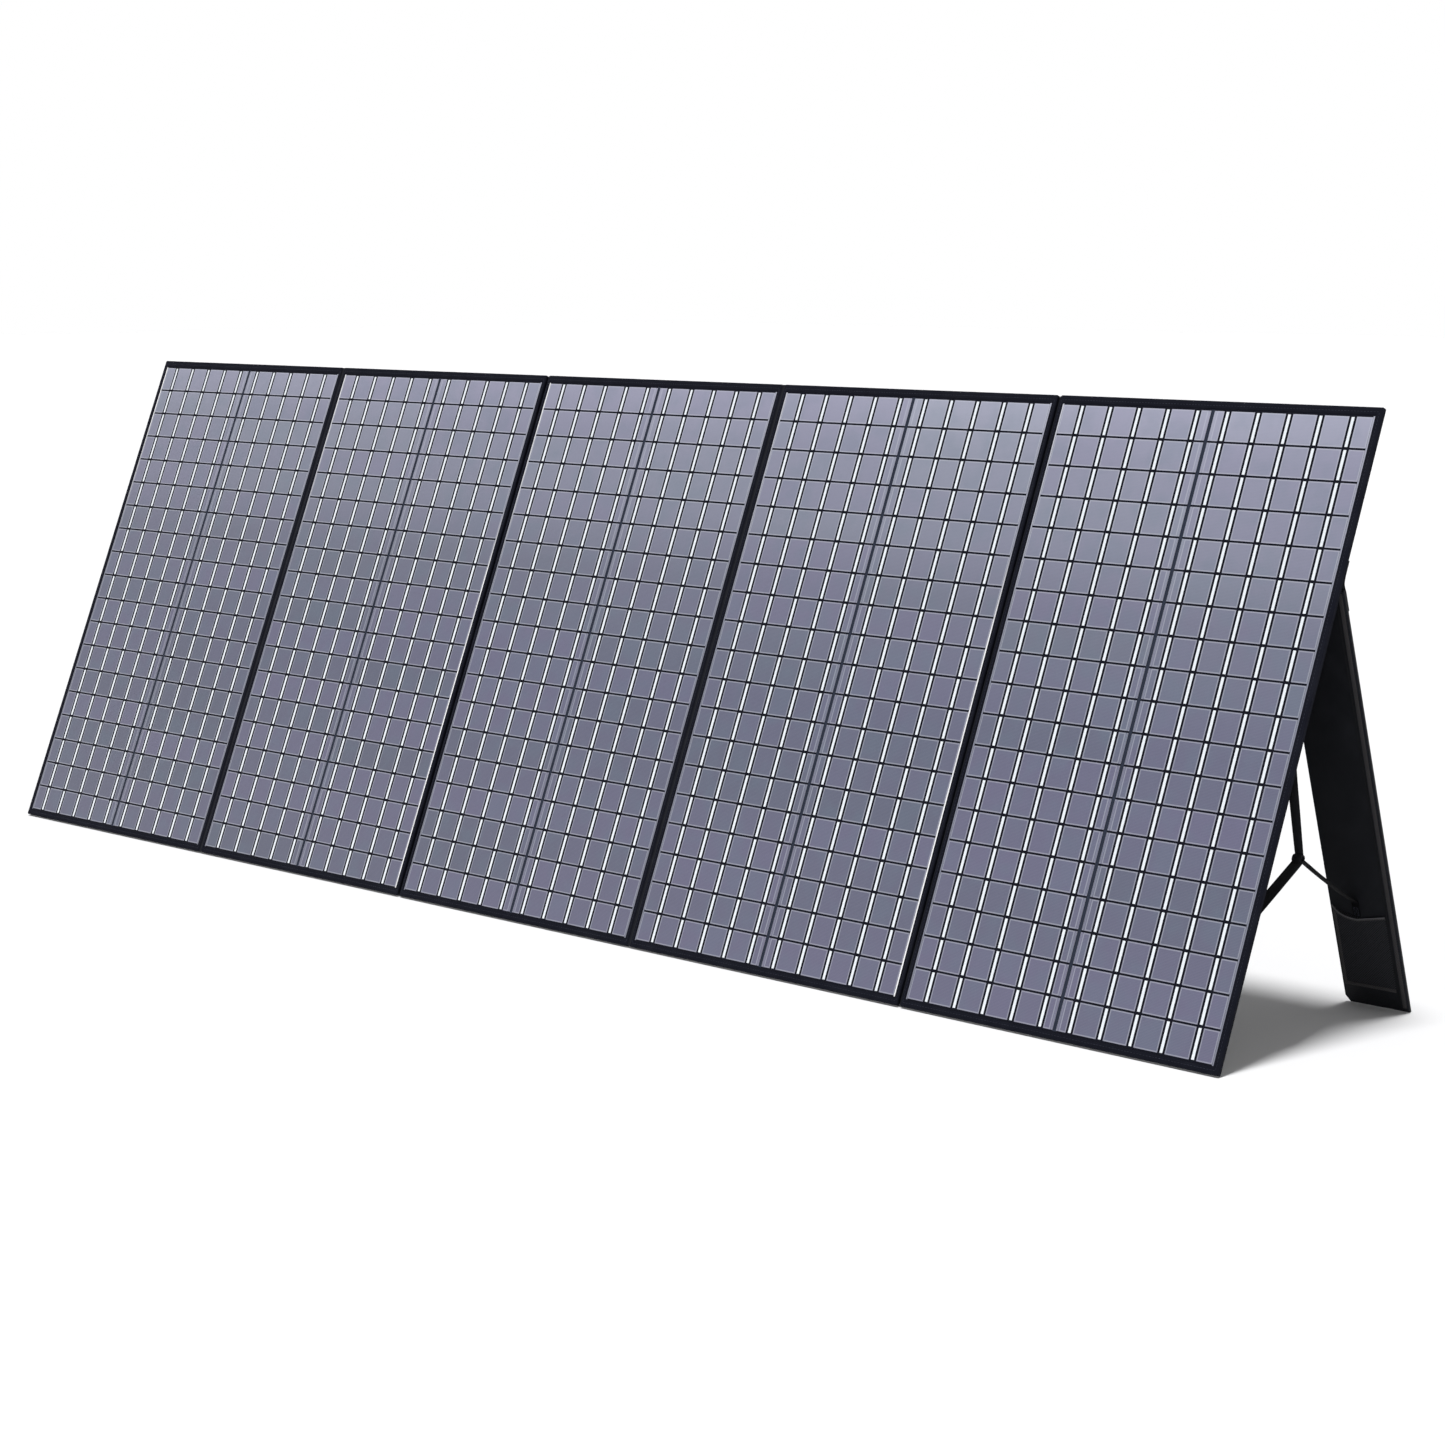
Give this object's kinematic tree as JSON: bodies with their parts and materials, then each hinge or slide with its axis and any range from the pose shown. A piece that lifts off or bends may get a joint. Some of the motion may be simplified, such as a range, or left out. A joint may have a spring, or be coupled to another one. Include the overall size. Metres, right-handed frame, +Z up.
{
  "type": "folding solar panel",
  "caption": "Portable folding solar panel: framed photovoltaic leaves on fabric hinges, leaning back on fold-out stands held by straps",
  "frame": {"origin": "on the ground, in the middle of the footprint of the opened panel", "axes": "+Z up, +X along the row of panels from left to right as seen from the solar side, +Y towards the back, where the stands are"},
  "size_m": [2.465, 0.4344, 0.7741],
  "materials": {
    "binding": "woven polyester binding tape, near-black navy",
    "laminate": "blue-grey monocrystalline cells under a clear satin film",
    "board": "stiff inner board",
    "back": "black coated polyester",
    "web": "black woven hinge tape",
    "stand": "board covered in black coated polyester",
    "webbing": "black woven webbing",
    "mesh": "black mesh",
    "plastic": "moulded black plastic, satin",
    "steel": "zinc-plated steel screws"
  },
  "bodies": {
    "panel_1": {"binding_1": "binding", "laminate_1": "laminate", "core_board_1": "board", "back_cover_1": "back", "junction_box_base": "plastic", "junction_box_lid": "plastic", "lid_screw_1": "steel", "lid_screw_2": "steel", "lid_screw_3": "steel", "lid_screw_4": "steel", "cable_gland": "plastic", "stand_hinge_1": "web", "strap_webbing_1": "webbing"},
    "panel_2": {"binding_2": "binding", "laminate_2": "laminate", "core_board_2": "board", "back_cover_2": "back", "hinge_web_12": "web"},
    "panel_3": {"binding_3": "binding", "laminate_3": "laminate", "core_board_3": "board", "back_cover_3": "back", "hinge_web_23": "web", "hinge_web_34": "web", "stand_hinge_3": "web", "strap_webbing_3": "webbing"},
    "panel_4": {"binding_4": "binding", "laminate_4": "laminate", "core_board_4": "board", "back_cover_4": "back", "hinge_web_45": "web"},
    "panel_5": {"binding_5": "binding", "laminate_5": "laminate", "core_board_5": "board", "back_cover_5": "back", "stand_hinge_5": "web", "strap_webbing_5": "webbing"},
    "stand_1": {"stand_board_1": "stand", "stand_rim_1": "webbing", "stand_pocket_1": "mesh", "strap_tie_1": "webbing"},
    "stand_3": {"stand_board_3": "stand", "stand_rim_3": "webbing", "stand_pocket_3": "mesh", "strap_tie_3": "webbing"},
    "stand_5": {"stand_board_5": "stand", "stand_rim_5": "webbing", "stand_pocket_5": "mesh", "strap_tie_5": "webbing"}
  },
  "joints": [
    {"name": "fold_1_2", "type": "hinge", "parent": "panel_2", "child": "panel_1", "pos_m": [-0.741, -0.05776, 0.38855], "axis": [0, 0.3827, 0.9239], "range_deg": [0, 180]},
    {"name": "fold_2_3", "type": "hinge", "parent": "panel_3", "child": "panel_2", "pos_m": [-0.247, -0.04713, 0.38415], "axis": [0, -0.3827, -0.9239], "range_deg": [0, 135]},
    {"name": "fold_3_4", "type": "hinge", "parent": "panel_3", "child": "panel_4", "pos_m": [0.247, -0.05776, 0.38855], "axis": [0, -0.3827, -0.9239], "range_deg": [0, 180]},
    {"name": "fold_4_5", "type": "hinge", "parent": "panel_4", "child": "panel_5", "pos_m": [0.741, -0.04713, 0.38415], "axis": [0, 0.3827, 0.9239], "range_deg": [0, 119]},
    {"name": "stand_1_swing", "type": "hinge", "parent": "panel_1", "child": "stand_1", "pos_m": [-1.1855, 0.0236, 0.5578], "axis": [-1, 0, 0], "range_deg": [0, 41.2], "deforming": ["strap_webbing_1", "strap_tie_1"]},
    {"name": "stand_3_swing", "type": "hinge", "parent": "panel_3", "child": "stand_3", "pos_m": [0.1975, 0.0236, 0.5578], "axis": [-1, 0, 0], "range_deg": [0, 41.2], "deforming": ["strap_webbing_3", "strap_tie_3"]},
    {"name": "stand_5_swing", "type": "hinge", "parent": "panel_5", "child": "stand_5", "pos_m": [1.1855, 0.0236, 0.5578], "axis": [-1, 0, 0], "range_deg": [0, 41.2], "deforming": ["strap_webbing_5", "strap_tie_5"]}
  ]
}
